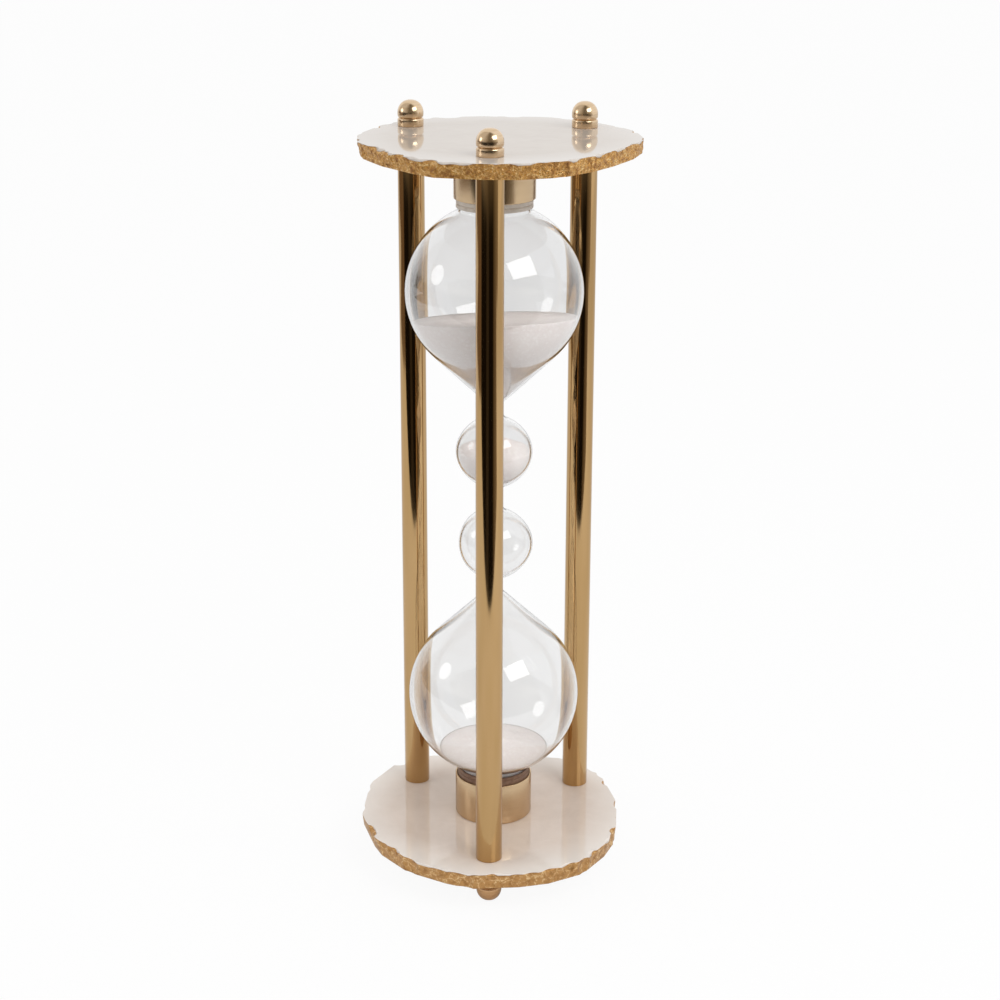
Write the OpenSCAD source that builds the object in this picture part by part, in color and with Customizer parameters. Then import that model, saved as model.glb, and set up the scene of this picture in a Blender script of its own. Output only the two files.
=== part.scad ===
// Three-post hourglass: two chipped, gilt-edged stone plates held apart by three
// tube posts, with a blown glass vial of four chambers cupped between brass caps.
// Millimetres, +Z up. The origin lies on the vial's axis, on the plane that the
// lower ball nuts rest on.

/* [Frame] */
// Gap between the large bulbs and the posts
post_clearance = 3; // [2:0.25:5]
// How far a plate's mean edge stands out beyond the posts' centres
post_setback = 11.6; // [10:0.2:12.6]
// Direction of the front post, seen from above
front_post_angle = 265.7; // [255:0.5:285]
// Angle between the two back posts
back_post_spacing = 104; // [96:1:120]
// Outside diameter of a post tube
post_diameter = 10; // [9:0.25:11]
// Wall of a post tube
post_wall = 1.2; // [0.8:0.1:1.6]
// Diameter of the threaded tie rod in each post
tie_rod_diameter = 5; // [4:0.25:5.5]
// Slack round the tie rod where it passes a plate
rod_hole_slack = 0.4; // [0.2:0.05:0.6]

/* [Plates] */
// How much larger the mean radius of the bottom plate is
bottom_plate_growth = 0.6; // [0:0.1:1.5]
// Thickness of the top plate
top_plate_thickness = 5.6; // [5.2:0.2:8]
// Thickness of the bottom plate
bottom_plate_thickness = 6.2; // [5.6:0.2:8]
// How far the broadest swell of a plate's rim leaves the mean circle
rim_swell = 1.8; // [0.6:0.1:2.2]
// Number of chips struck off round a rim
chip_count = 23; // [16:1:30]
// How far the chips of the top plate are turned round its rim
top_chip_turn = 4; // [0:1:15]
// How far the chips of the bottom plate are turned round its rim
bottom_chip_turn = 18; // [16:1:24]
// How far a chip undercuts the lower edge of the rim
chip_undercut = 1.6; // [1.2:0.1:3]
// Most that a chip bites into the upper edge of the rim
chip_bite = 1.1; // [0.4:0.1:1.4]
// Number of small flakes scooped out of the upper edge
flake_count = 7; // [4:1:9]
// How far the deepest flake reaches in across the upper face
flake_reach = 3.4; // [1.5:0.1:3.6]
// Radius of the scoop that a flake leaves
flake_radius = 8; // [6:0.5:10]
// Slope of a flake, down and out from the upper face
flake_slope = 38; // [30:1:48]
// Thickness of the gilding over the chipped rim
gilding_thickness = 0.5; // [0.3:0.1:0.7]

/* [Ball nuts] */
// Diameter of the ball
ball_diameter = 9.7; // [9:0.1:10.4]
// Height of an upper ball nut, base ring and ball together
ball_nut_height = 9.6; // [9.4:0.1:10.6]
// How much taller the base rings of the lower ball nuts are, which serve as feet
foot_growth = 2; // [0:0.1:4]
// Diameter of the base ring
ring_diameter = 9.7; // [9:0.1:10.4]
// Height of the base ring, up to the bottom of the groove
ring_height = 3.2; // [2.4:0.1:3.4]
// Diameter at the bottom of the groove between ring and ball
groove_diameter = 8.1; // [7.6:0.1:8.4]
// Slope of the groove's two sides
groove_slope = 30; // [20:1:40]
// Depth of the threaded hole in a ball nut
nut_hole_depth = 6; // [5:0.25:6.5]
// Gap between a tie rod's end and the bottom of that hole
rod_end_gap = 0.5; // [0.2:0.1:1]
// Slack round a tie rod's thread in a ball nut
thread_slack = 0.1; // [0.05:0.05:0.15]

/* [Caps] */
// Outside diameter of a cap
cap_diameter = 30; // [29.6:0.2:31]
// Height of a cap
cap_height = 16.4; // [15:0.1:18]
// Wall of a cap
cap_wall = 0.8; // [0.6:0.1:0.9]
// Thickness of a cap's closed end
cap_end = 1.2; // [0.8:0.1:1.6]
// Thickness of the cushion in the bottom of a cap
cushion_thickness = 2.4; // [1.6:0.2:3]
// Height of the gasket in a cap's mouth
gasket_height = 5; // [4:0.5:6]
// Thickness of the gasket between cap and glass
gasket_thickness = 0.8; // [0.6:0.1:1.2]
// How far a gasket stands proud of its cap's lip
gasket_rise = 3.2; // [2:0.1:3.4]
// Slack between gasket, cap and glass
gasket_slack = 0.05; // [0.03:0.01:0.08]

/* [Glass vial] */
// Outside radius of a large bulb
large_bulb_radius = 33; // [32:0.25:33.5]
// Outside radius of a small bulb
small_bulb_radius = 13.9; // [13:0.1:14.5]
// Distance between the two small bulbs, sphere to sphere
small_bulb_gap = 8.8; // [8:0.2:11]
// Distance from a small bulb to the large bulb next to it, sphere to sphere
large_bulb_gap = 14.8; // [13.6:0.2:18]
// Outside radius of a throat
throat_radius = 3.4; // [3:0.1:3.8]
// How far the throat by a large bulb lies beyond the small bulb's sphere
outer_throat_setback = 4.4; // [4:0.2:6.4]
// Radius of the sweep that flares each throat into its bulbs
throat_sweep = 2.6; // [2:0.2:3.6]
// Radius of the sweep from a collar into its bulb
collar_sweep = 0.8; // [0.6:0.1:2.4]
// Length of straight collar that shows between its sweep and the cap
collar_show = 3.9; // [3.6:0.1:5]
// Wall of the blown glass
glass_wall = 0.8; // [0.7:0.1:1.2]
// Thickness of the closed lower end
glass_end = 1.6; // [1.2:0.1:2]
// Thickness of the filling plug's flange
plug_flange = 1.4; // [1:0.1:1.8]
// Length of the filling plug's stem
plug_stem = 5; // [4:0.5:7]
// Slack round the plug's stem
plug_slack = 0.1; // [0.05:0.05:0.2]

/* [Sand] */
// Height of the sand in the top bulb, from that bulb's centre
upper_sand_level = -10.3; // [-16:0.1:-6]
// Tilt of that sand's surface
upper_sand_tilt = 9; // [0:0.5:12]
// Direction in which it dips
upper_sand_dip = 101; // [0:1:359]
// Height of the sand's edge in the upper small bulb, from that bulb's centre
middle_sand_level = 1; // [-4:0.2:4]
// Slope of the heap in the upper small bulb
middle_sand_slope = 24; // [10:1:32]
// Height of the sand's edge in the bottom bulb, from that bulb's centre
lower_sand_level = -24; // [-27:0.5:-20]
// Slope of the mound in the bottom bulb
lower_sand_slope = 7; // [2:1:14]
// Gap between sand and glass
sand_gap = 0.05; // [0.03:0.01:0.1]

/* [Hidden] */
$fn = 96;
outline_steps = 96;
sweep_steps = 10;
facing_step = 4;
gold = [0.76, 0.62, 0.42];
gilt = [0.72, 0.52, 0.27];
stone = [0.88, 0.85, 0.82];
felt = [0.25, 0.2, 0.17];
sand_white = [0.88, 0.84, 0.82];

// the collars are blown to suit the caps that take them
collar_radius = cap_diameter / 2 - cap_wall - gasket_thickness - 2 * gasket_slack;
collar_bore = collar_radius - glass_wall;

// vial stations, measured from its middle
small_bulb_offset = small_bulb_radius + small_bulb_gap / 2;
outer_throat_offset = small_bulb_offset + small_bulb_radius + outer_throat_setback;
large_bulb_offset = small_bulb_offset + small_bulb_radius + large_bulb_gap + large_bulb_radius;
collar_axis_x = collar_radius + collar_sweep;
collar_rise = sqrt(pow(large_bulb_radius + collar_sweep, 2) - pow(collar_axis_x, 2));
cap_mouth = large_bulb_offset + collar_rise + collar_show;
collar_end = cap_mouth + cap_height - cap_end - cushion_thickness;

// heights of the stack: the stand is made to suit the vial and its caps
post_length = 2 * (cap_mouth + cap_height);
bottom_plate_z = ball_nut_height + foot_growth;
post_z = bottom_plate_z + bottom_plate_thickness;
vial_z = post_z + post_length / 2;
top_plate_z = post_z + post_length;
top_face_z = top_plate_z + top_plate_thickness;
overall_height = top_face_z + ball_nut_height;
rod_low_end = bottom_plate_z - nut_hole_depth + rod_end_gap;
rod_high_end = top_face_z + nut_hole_depth - rod_end_gap;

// the posts stand clear of the large bulbs, and the plates reach out beyond the posts
post_circle_radius = large_bulb_radius + post_clearance + post_diameter / 2;
top_plate_radius = post_circle_radius + post_setback;
bottom_plate_radius = top_plate_radius + bottom_plate_growth;

// post directions
left_post_angle = front_post_angle - 180 + back_post_spacing / 2;
right_post_angle = front_post_angle - 180 - back_post_spacing / 2;

// rim swells: share of rim_swell and phase of the first six waves round each plate
top_waves = [[1.1, -53], [0.92, 178], [0.79, 64], [0.29, 4], [0.2, -56], [0.34, 11]];
bottom_waves = [[0.72, -130], [0.68, -135], [0.87, 94], [0.78, 174], [0.36, -108], [0.12, 23]];

function sum_to(v, i) = i < 0 ? 0 : v[i] + sum_to(v, i - 1);
function rim(mean, waves, a) =
    mean + rim_swell * sum_to([for (k = [0 : len(waves) - 1])
        waves[k][0] * cos((k + 1) * a - waves[k][1])], len(waves) - 1);
// repeatable unevenness, -1 to 1
function uneven(i) = sin(i * 137.5 + 40 * sin(i * 71));
function chip_angle(i) = (i + 0.28 * uneven(i)) * 360 / chip_count;
function at(r, a) = [r * cos(a), r * sin(a)];
function rim_point(mean, waves, a) = at(rim(mean, waves, a), a);
// outward direction square to the rim
function rim_facing(mean, waves, a) =
    let (run = rim_point(mean, waves, a + facing_step) - rim_point(mean, waves, a - facing_step))
    atan2(-run[0], run[1]);

// ---- plates ----

module rim_outline(mean, waves, inset) {
    polygon([for (i = [0 : outline_steps - 1])
        let (a = i * 360 / outline_steps) at(rim(mean, waves, a) - inset, a)]);
}

// the flakes struck off round a rim: each leaves a face that passes through its bite
// on the upper edge and its undercut on the lower one
module chips(mean, waves, thickness, skin, turn) {
    for (i = [0 : chip_count - 1]) {
        a = chip_angle(i) + turn;
        bite = chip_bite * (0.55 + 0.45 * uneven(i + 11));
        undercut = chip_undercut * (1 + 0.2 * uneven(i + 5));
        translate(rim_point(mean, waves, a)) rotate([0, 0, rim_facing(mean, waves, a)])
            translate([-undercut, 0, 0]) rotate([0, atan2(undercut - bite, thickness), 0])
                translate([-skin, -mean / 2, -thickness]) cube([mean / 2, mean, 4 * thickness]);
    }
}

// small flakes off the upper edge: round scoops that run down and out
module flakes(mean, waves, thickness, skin, turn) {
    for (i = [0 : flake_count - 1]) {
        a = (i + 0.35 * uneven(i + 2)) * 360 / flake_count - turn;
        reach = flake_reach * (0.7 + 0.3 * uneven(i + 17));
        translate(rim_point(mean, waves, a)) rotate([0, 0, rim_facing(mean, waves, a)])
            translate([-reach, 0, thickness]) rotate([0, flake_slope, 0])
                translate([-flake_radius, 0, flake_radius]) rotate([0, 90, 0])
                    cylinder(r = flake_radius + skin, h = 4 * flake_radius);
    }
}

module plate_blank(mean, waves, thickness, skin, turn) {
    difference() {
        linear_extrude(thickness) rim_outline(mean, waves, skin);
        chips(mean, waves, thickness, skin, turn);
        flakes(mean, waves, thickness, skin, turn);
    }
}

module rod_holes(thickness) {
    for (a = [front_post_angle, left_post_angle, right_post_angle])
        translate([post_circle_radius * cos(a), post_circle_radius * sin(a), -1])
            cylinder(d = tie_rod_diameter + 2 * rod_hole_slack, h = thickness + 2);
}

module plate(mean, waves, thickness, turn) {
    color(stone) difference() {
        plate_blank(mean, waves, thickness, gilding_thickness, turn);
        rod_holes(thickness);
    }
}

module gilding(mean, waves, thickness, turn) {
    color(gilt) difference() {
        plate_blank(mean, waves, thickness, 0, turn);
        plate_blank(mean, waves, thickness, gilding_thickness, turn);
    }
}

module top_plate() translate([0, 0, top_plate_z])
    plate(top_plate_radius, top_waves, top_plate_thickness, top_chip_turn);
module top_plate_gilding() translate([0, 0, top_plate_z])
    gilding(top_plate_radius, top_waves, top_plate_thickness, top_chip_turn);
module bottom_plate() translate([0, 0, bottom_plate_z])
    plate(bottom_plate_radius, bottom_waves, bottom_plate_thickness, bottom_chip_turn);
module bottom_plate_gilding() translate([0, 0, bottom_plate_z])
    gilding(bottom_plate_radius, bottom_waves, bottom_plate_thickness, bottom_chip_turn);

// ---- posts, tie rods and ball nuts ----

module on_post(a, z) translate([post_circle_radius * cos(a), post_circle_radius * sin(a), z]) children();

module post(a) color(gold) on_post(a, post_z) difference() {
    cylinder(d = post_diameter, h = post_length);
    translate([0, 0, -1]) cylinder(d = post_diameter - 2 * post_wall, h = post_length + 2);
}

module tie_rod(a) color([0.62, 0.6, 0.57])
    on_post(a, rod_low_end) cylinder(d = tie_rod_diameter, h = rod_high_end - rod_low_end);

// ball nut standing on its base ring, crown up
module ball_nut(growth) {
    ring_r = ring_diameter / 2;
    ring_top = ring_height + growth;
    height = ball_nut_height + growth;
    groove_r = groove_diameter / 2;
    flare = ball_diameter * tan(groove_slope);
    difference() {
        rotate_extrude() difference() {
            union() {
                intersection() {
                    translate([0, height - ball_diameter / 2]) circle(d = ball_diameter);
                    square([ball_diameter, height]);
                }
                square([ring_r, ring_top]);
            }
            // groove turned in between ring and ball
            polygon([[groove_r, ring_top], [groove_r + ball_diameter, ring_top + flare],
                     [groove_r + ball_diameter, ring_top - flare]]);
        }
        translate([0, 0, -1]) cylinder(d = tie_rod_diameter + 2 * thread_slack, h = nut_hole_depth + 1);
    }
}

module top_finial(a) color(gold) on_post(a, top_face_z) ball_nut(0);
module bottom_finial(a) color(gold) on_post(a, bottom_plate_z) mirror([0, 0, 1]) ball_nut(foot_growth);

module front_post() post(front_post_angle);
module left_post() post(left_post_angle);
module right_post() post(right_post_angle);
module front_tie_rod() tie_rod(front_post_angle);
module left_tie_rod() tie_rod(left_post_angle);
module right_tie_rod() tie_rod(right_post_angle);
module top_front_finial() top_finial(front_post_angle);
module top_left_finial() top_finial(left_post_angle);
module top_right_finial() top_finial(right_post_angle);
module bottom_front_finial() bottom_finial(front_post_angle);
module bottom_left_finial() bottom_finial(left_post_angle);
module bottom_right_finial() bottom_finial(right_post_angle);

// ---- caps ----

// places a child built upward from a plate's face at the lower or the upper end
module at_end(upper) {
    if (upper) translate([0, 0, top_plate_z]) mirror([0, 0, 1]) children();
    else translate([0, 0, post_z]) children();
}

module cap() color(gold) rotate_extrude() {
    r = cap_diameter / 2;
    square([r, cap_end]);
    translate([r - cap_wall, 0]) square([cap_wall, cap_height - cap_wall / 2]);
    translate([r - cap_wall / 2, cap_height - cap_wall / 2]) circle(d = cap_wall);
}

module cushion() color(felt) translate([0, 0, cap_end]) cylinder(r = collar_radius, h = cushion_thickness);

module gasket() color([0.3, 0.22, 0.17]) translate([0, 0, cap_height + gasket_rise - gasket_height])
    rotate_extrude() translate([collar_radius + gasket_slack, 0])
        square([gasket_thickness, gasket_height]);

module top_cap() at_end(true) cap();
module bottom_cap() at_end(false) cap();
module top_cushion() at_end(true) cushion();
module bottom_cushion() at_end(false) cushion();
module top_gasket() at_end(true) gasket();
module bottom_gasket() at_end(false) gasket();

// ---- glass ----

// direction, from a bulb's centre, in which its surface hands over to the straight
// line that also touches the sweep at [x, z]
function hand_over(bulb_z, bulb_r, x, z, r) =
    let (d = norm([x, z - bulb_z]), lean = sign(z - bulb_z) * acos((bulb_r + r) / d))
    atan2(z - bulb_z, x) - lean;

// a point just under a bulb's surface, for a flare to start from
function root(bulb_z, bulb_r, a) = [0, bulb_z] + (bulb_r - 0.3) * [cos(a), sin(a)];

function sweep(x, z, r, from, to) =
    [for (i = [0 : sweep_steps]) [x, z] - r * [cos(from + (to - from) * i / sweep_steps),
                                              sin(from + (to - from) * i / sweep_steps)]];

// throat at height z between a bulb below it and one above it
module throat(z, low_z, low_r, high_z, high_r, inset) {
    x = throat_radius + throat_sweep;
    r = throat_sweep + inset;
    low = hand_over(low_z, low_r, x, z, r);
    high = hand_over(high_z, high_r, x, z, r);
    polygon(concat([[0, low_z], root(low_z, low_r, low)], sweep(x, z, r, low, high),
                   [root(high_z, high_r, high), [0, high_z]]));
}

// collar from a large bulb at height z out to its end, on the side that s points to
module collar(s, bulb_r, end, inset) {
    a = atan2(collar_rise, collar_axis_x);
    line = concat([[0, large_bulb_offset], root(large_bulb_offset, bulb_r, a)],
                  sweep(collar_axis_x, large_bulb_offset + collar_rise, collar_sweep + inset, a, 0),
                  [[collar_radius - inset, end], [0, end]]);
    last = len(line) - 1;
    polygon([for (i = [0 : last]) let (p = line[s > 0 ? i : last - i]) [p[0], s * p[1]]]);
}

module bulb(z, r) intersection() {
    translate([0, z]) circle(r = r);
    translate([0, -overall_height]) square(2 * overall_height);
}

// half section of the vial, its surface set in by the given depth
module vial_section(inset, low_end, high_end) {
    large_r = large_bulb_radius - inset;
    small_r = small_bulb_radius - inset;
    for (s = [-1, 1]) {
        bulb(s * large_bulb_offset, large_r);
        bulb(s * small_bulb_offset, small_r);
    }
    throat(-outer_throat_offset, -large_bulb_offset, large_r, -small_bulb_offset, small_r, inset);
    throat(0, -small_bulb_offset, small_r, small_bulb_offset, small_r, inset);
    throat(outer_throat_offset, small_bulb_offset, small_r, large_bulb_offset, large_r, inset);
    collar(-1, large_r, low_end, inset);
    collar(1, large_r, high_end, inset);
}

module glass_vial() color([0.9, 0.93, 0.95, 0.3]) translate([0, 0, vial_z]) rotate_extrude() difference() {
    vial_section(0, collar_end, collar_end - plug_flange);
    vial_section(glass_wall, collar_end - glass_end, collar_end);
}

module filling_plug() color([0.55, 0.4, 0.28]) translate([0, 0, vial_z]) {
    translate([0, 0, collar_end - plug_flange]) cylinder(r = collar_radius, h = plug_flange);
    translate([0, 0, collar_end - plug_flange - plug_stem])
        cylinder(r = collar_bore - plug_slack, h = plug_stem + plug_flange);
}

// ---- sand ----

// half section of the vial's bore, less the gap that keeps sand and glass apart
module bore_section() vial_section(glass_wall + sand_gap, collar_end - glass_end - sand_gap, collar_end);

// sand lying under a tilted flat surface
module upper_sand() color(sand_white) difference() {
    translate([0, 0, vial_z]) rotate_extrude() intersection() {
        bore_section();
        translate([0, outer_throat_offset]) square([large_bulb_radius, large_bulb_offset - outer_throat_offset]);
    }
    translate([0, 0, vial_z + large_bulb_offset + upper_sand_level]) rotate([0, upper_sand_tilt, upper_sand_dip])
        translate([-2 * large_bulb_radius, -2 * large_bulb_radius, 0]) cube(4 * large_bulb_radius);
}

// sand under a heap that meets the glass at the given height
module heaped(from, edge, edge_r, slope) translate([0, 0, vial_z]) rotate_extrude() intersection() {
    bore_section();
    polygon([[0, from], [2 * edge_r, from], [2 * edge_r, edge - edge_r * tan(slope)],
             [0, edge + edge_r * tan(slope)]]);
}

middle_edge_r = sqrt(pow(small_bulb_radius - glass_wall, 2) - pow(middle_sand_level, 2));
lower_edge_r = sqrt(pow(large_bulb_radius - glass_wall, 2) - pow(lower_sand_level, 2));

module middle_sand() color(sand_white)
    heaped(0, small_bulb_offset + middle_sand_level, middle_edge_r, middle_sand_slope);
module lower_sand() color(sand_white)
    heaped(-collar_end, lower_sand_level - large_bulb_offset, lower_edge_r, lower_sand_slope);

top_plate();
top_plate_gilding();
bottom_plate();
bottom_plate_gilding();
front_post();
left_post();
right_post();
front_tie_rod();
left_tie_rod();
right_tie_rod();
top_front_finial();
top_left_finial();
top_right_finial();
bottom_front_finial();
bottom_left_finial();
bottom_right_finial();
top_cap();
bottom_cap();
top_cushion();
bottom_cushion();
top_gasket();
bottom_gasket();
glass_vial();
filling_plug();
upper_sand();
middle_sand();
lower_sand();
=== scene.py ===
"""Three-post hourglass: gilt-edged stone plates, brass tube posts and a blown vial of four chambers."""
import math
import random

import bmesh
import bpy
import numpy as np
from mathutils import Matrix, Vector, noise


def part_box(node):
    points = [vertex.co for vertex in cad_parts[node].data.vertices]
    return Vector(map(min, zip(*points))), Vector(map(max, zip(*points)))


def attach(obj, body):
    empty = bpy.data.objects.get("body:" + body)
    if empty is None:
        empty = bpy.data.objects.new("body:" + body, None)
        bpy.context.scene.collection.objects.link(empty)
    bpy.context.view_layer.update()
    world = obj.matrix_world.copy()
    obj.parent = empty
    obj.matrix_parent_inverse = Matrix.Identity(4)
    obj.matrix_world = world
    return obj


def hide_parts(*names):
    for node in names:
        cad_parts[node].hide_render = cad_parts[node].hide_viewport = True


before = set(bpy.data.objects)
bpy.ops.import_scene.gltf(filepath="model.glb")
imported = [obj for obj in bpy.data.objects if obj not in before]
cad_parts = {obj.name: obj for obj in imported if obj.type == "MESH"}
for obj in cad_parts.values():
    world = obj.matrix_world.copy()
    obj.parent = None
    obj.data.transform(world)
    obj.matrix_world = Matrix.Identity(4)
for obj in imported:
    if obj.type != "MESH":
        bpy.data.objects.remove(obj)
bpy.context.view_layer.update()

MM = 0.001

# ---- sizes of the part, in millimetres and degrees ----

POST_RADIUS, POST_WALL = 5.0, 1.2
BIG, SMALL = 33.0, 13.9                 # outside radii of the bulbs
SMALL_AT = SMALL + 8.8 / 2              # bulb centres and throats, from the vial's middle
OUTER_THROAT = SMALL_AT + SMALL + 4.4
BIG_AT = SMALL_AT + SMALL + 14.8 + BIG
THROAT, THROAT_SWEEP = 3.4, 2.6
COLLAR, COLLAR_SWEEP = 13.3, 0.8
COLLAR_AXIS = COLLAR + COLLAR_SWEEP
COLLAR_RISE = math.sqrt((BIG + COLLAR_SWEEP) ** 2 - COLLAR_AXIS ** 2)
COLLAR_END = BIG_AT + COLLAR_RISE + 16.7
GLASS_WALL, GLASS_END, SAND_GAP = 0.8, 1.6, 0.05
PLUG_FLANGE = 1.4
CAP_RADIUS, CAP_HEIGHT, CAP_WALL, CAP_END = 15.0, 16.4, 0.8, 1.2
GASKET_GROOVE = (3.1, 3.4, 3.7)         # its lower edge, bottom and upper edge, above the ring's foot
GASKET_GROOVE_DEPTH = 0.45
BALL, NUT_HEIGHT, RING, RING_HEIGHT, GROOVE = 4.85, 9.6, 4.85, 3.2, 4.05
GROOVE_DROP, BALL_RISE = 0.35, 0.3      # from the ring's top: down to the groove's side, up to the ball
BALL_BARREL = 0.86                      # 1 is a true ball, and less is fuller at the shoulders
FOOT_GROWTH = 2.0                       # extra height of a lower nut's ring
NUT_BORE, NUT_BORE_DEPTH = 2.6, 6.0
ROD_HOLE = 2.9
RIM_SWELL, GILDING = 1.8, 0.5
SLAB_GAP, LIP_STEP, LIP_EDGE = 0.04, 0.02, 0.06
LIP = 0.15                              # bare stone above the leaf
LIP_WANDER = 0.85                       # how much lower the leaf stops in places
CHIPS, UNDERCUT, BITE = 23, 1.6, 1.1
FLAKES, FLAKE_REACH, FLAKE_RADIUS, FLAKE_SLOPE = 7, 3.4, 8.0, 38.0
WIDEN_UPPER, WIDEN_LOWER = 0.045, 0.02  # share by which hand blowing widens the small bulbs
LOWER_LEAN = 0.7
UPPER_SAND, UPPER_TILT, UPPER_DIP = -10.3, 9.0, 101.0
MIDDLE_SAND, MIDDLE_SLOPE = 1.0, 24.0
LOWER_SAND, LOWER_SLOPE = -24.0, 7.0
SAND_ROUGH, SAND_RIPPLE = 0.35, 6.0     # height and spacing of the unevenness in the sand's surface
SAND_RINGS, SAND_WELD = 24, 0.3         # rings across a surface, and corners nearer than this are joined
PEAK_ROUNDING = 0.12                    # share of a heap's radius over which its peak is round
SAND_DRAWN_BELOW = 5.0                  # the uncut fill ends this far under the plug


def span(node):
    """Centre x and y, then lowest and highest z, of a CAD node, in millimetres."""
    low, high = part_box(node)
    return ((low[0] + high[0]) / 2 / MM, (low[1] + high[1]) / 2 / MM, low[2] / MM, high[2] / MM)


VIAL_Z = (span("front_post")[2] + span("front_post")[3]) / 2

# ---- finishing a piece ----


def finish(name, bm, material, slot, *nodes, flat=None):
    """Makes the mesh a piece that stands for the named CAD nodes. flat says which faces stay flat."""
    for face in bm.faces:
        face.smooth = not (flat and flat(face))
    mesh = bpy.data.meshes.new(name)
    bm.to_mesh(mesh)
    bm.free()
    piece = bpy.data.objects.new(name, mesh)
    bpy.context.scene.collection.objects.link(piece)
    mesh.materials.append(material)
    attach(piece, "root")
    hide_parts(*nodes)
    return piece


# ---- drawing and turning a half section ----


def draw(bm, start, moves):
    """Draws a half section in the XZ plane: runs to (x, z), and arcs about (x, z) by degrees in steps."""
    line = [bm.verts.new((start[0] * MM, 0, start[1] * MM))]
    for move in moves:
        if len(move) == 2:
            tip = bmesh.ops.extrude_vert_indiv(bm, verts=[line[-1]])["verts"][0]
            tip.co = (move[0] * MM, 0, move[1] * MM)
            line.append(tip)
        else:
            before = set(bm.verts)
            x, z, angle, steps = move
            end = bmesh.ops.spin(bm, geom=[line[-1]], cent=(x * MM, 0, z * MM), axis=(0, -1, 0),
                                 angle=math.radians(angle), steps=steps, use_merge=False)["geom_last"][0]
            line += [v for v in bm.verts if v not in before and v is not end] + [end]
    return line


def ease(bm, corners, radius, segments=3):
    """Rounds corners of a half section."""
    bmesh.ops.bevel(bm, geom=corners, offset=radius * MM, offset_type="OFFSET", segments=segments,
                    profile=0.5, affect="VERTICES", material=-1)


def turn(bm, steps):
    """Turns a half section round the Z axis into a closed skin."""
    bmesh.ops.spin(bm, geom=bm.verts[:] + bm.edges[:], cent=(0, 0, 0), axis=(0, 0, 1),
                   angle=2 * math.pi, steps=steps, use_merge=True)
    bmesh.ops.remove_doubles(bm, verts=bm.verts, dist=1e-7)
    bmesh.ops.recalc_face_normals(bm, faces=bm.faces)


def close(bm, line):
    """Joins the ends of a half section."""
    bm.edges.new((line[-1], line[0]))


def shift(bm, x, y, z):
    bmesh.ops.translate(bm, verts=bm.verts, vec=(x * MM, y * MM, z * MM))


def flip(bm):
    """Turns a shape upside down."""
    bmesh.ops.rotate(bm, verts=bm.verts, cent=(0, 0, 0), matrix=Matrix.Rotation(math.pi, 3, "X"))


# ---- materials ----


def tint(hex_code):
    """sRGB hex to a linear colour."""
    parts = [int(hex_code[i:i + 2], 16) / 255 for i in (1, 3, 5)]
    return tuple(c / 12.92 if c <= 0.04045 else ((c + 0.055) / 1.055) ** 2.4 for c in parts) + (1.0,)


def add(material, kind, inputs=None, **settings):
    """Adds a node: settings are its own, inputs are values or the sockets to link from."""
    node = material.node_tree.nodes.new(kind)
    for key, value in settings.items():
        setattr(node, key, value)
    for key, value in (inputs or {}).items():
        if isinstance(value, bpy.types.NodeSocket):
            material.node_tree.links.new(value, node.inputs[key])
        else:
            node.inputs[key].default_value = value
    return node


def blank(name):
    """A node material with only its output."""
    material = bpy.data.materials.new(name)
    material.use_nodes = True
    material.node_tree.nodes.clear()
    return material


def surface(material, shader):
    output = add(material, "ShaderNodeOutputMaterial")
    material.node_tree.links.new(shader.outputs[0], output.inputs["Surface"])
    return material


def per_mm(size):
    """Pattern scale that gives features of that many millimetres."""
    return 1000 / size


def blend(material, factor, low, high, a=0.0, b=1.0):
    """Two hex colours mixed by a factor that runs from a to b."""
    eased = add(material, "ShaderNodeMapRange", {"Value": factor, "From Min": a, "From Max": b})
    mix = add(material, "ShaderNodeMix", {"Factor": eased.outputs[0]}, data_type="RGBA")
    for socket, value in zip((6, 7), (low, high)):
        if isinstance(value, str):
            mix.inputs[socket].default_value = tint(value)
        else:
            material.node_tree.links.new(value, mix.inputs[socket])
    return mix.outputs[2]


def place(material):
    return add(material, "ShaderNodeTexCoord").outputs["Object"]


def stretch(material, x, y, z):
    """Object coordinates stretched, for grain that runs one way."""
    return add(material, "ShaderNodeMapping", {"Vector": place(material), "Scale": (x, y, z)}).outputs[0]


# Polished milky quartz: a sawn and polished slab that gives the eye a warm cream depth with faint clouds, a
# cooler and paler band towards the rim, and a wet gloss.
def polished_quartz(name, warm, pale, milky):
    m = blank(name)
    here = place(m)
    clouds = add(m, "ShaderNodeTexNoise", {"Vector": here, "Scale": per_mm(38), "Detail": 3.0,
                                           "Roughness": 0.55})
    wisps = add(m, "ShaderNodeTexNoise", {"Vector": here, "Scale": per_mm(9), "Detail": 5.0,
                                          "Roughness": 0.6, "Distortion": 0.6})
    flat = add(m, "ShaderNodeVectorMath", {0: here, 1: (1.0, 1.0, 0.0)}, operation="MULTIPLY")
    reach = add(m, "ShaderNodeVectorMath", {0: flat.outputs[0]}, operation="LENGTH")
    wander = add(m, "ShaderNodeMath", {0: clouds.outputs[0], 1: 0.012, 2: reach.outputs["Value"]},
                 operation="MULTIPLY_ADD")
    body = blend(m, wisps.outputs[0], warm, pale, 0.25, 0.95)
    edge = blend(m, wander.outputs[0], body, milky, 0.044, 0.060)
    shader = add(m, "ShaderNodeBsdfPrincipled", {"Base Color": edge, "Roughness": 0.05, "IOR": 1.5})
    return surface(m, shader)
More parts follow.
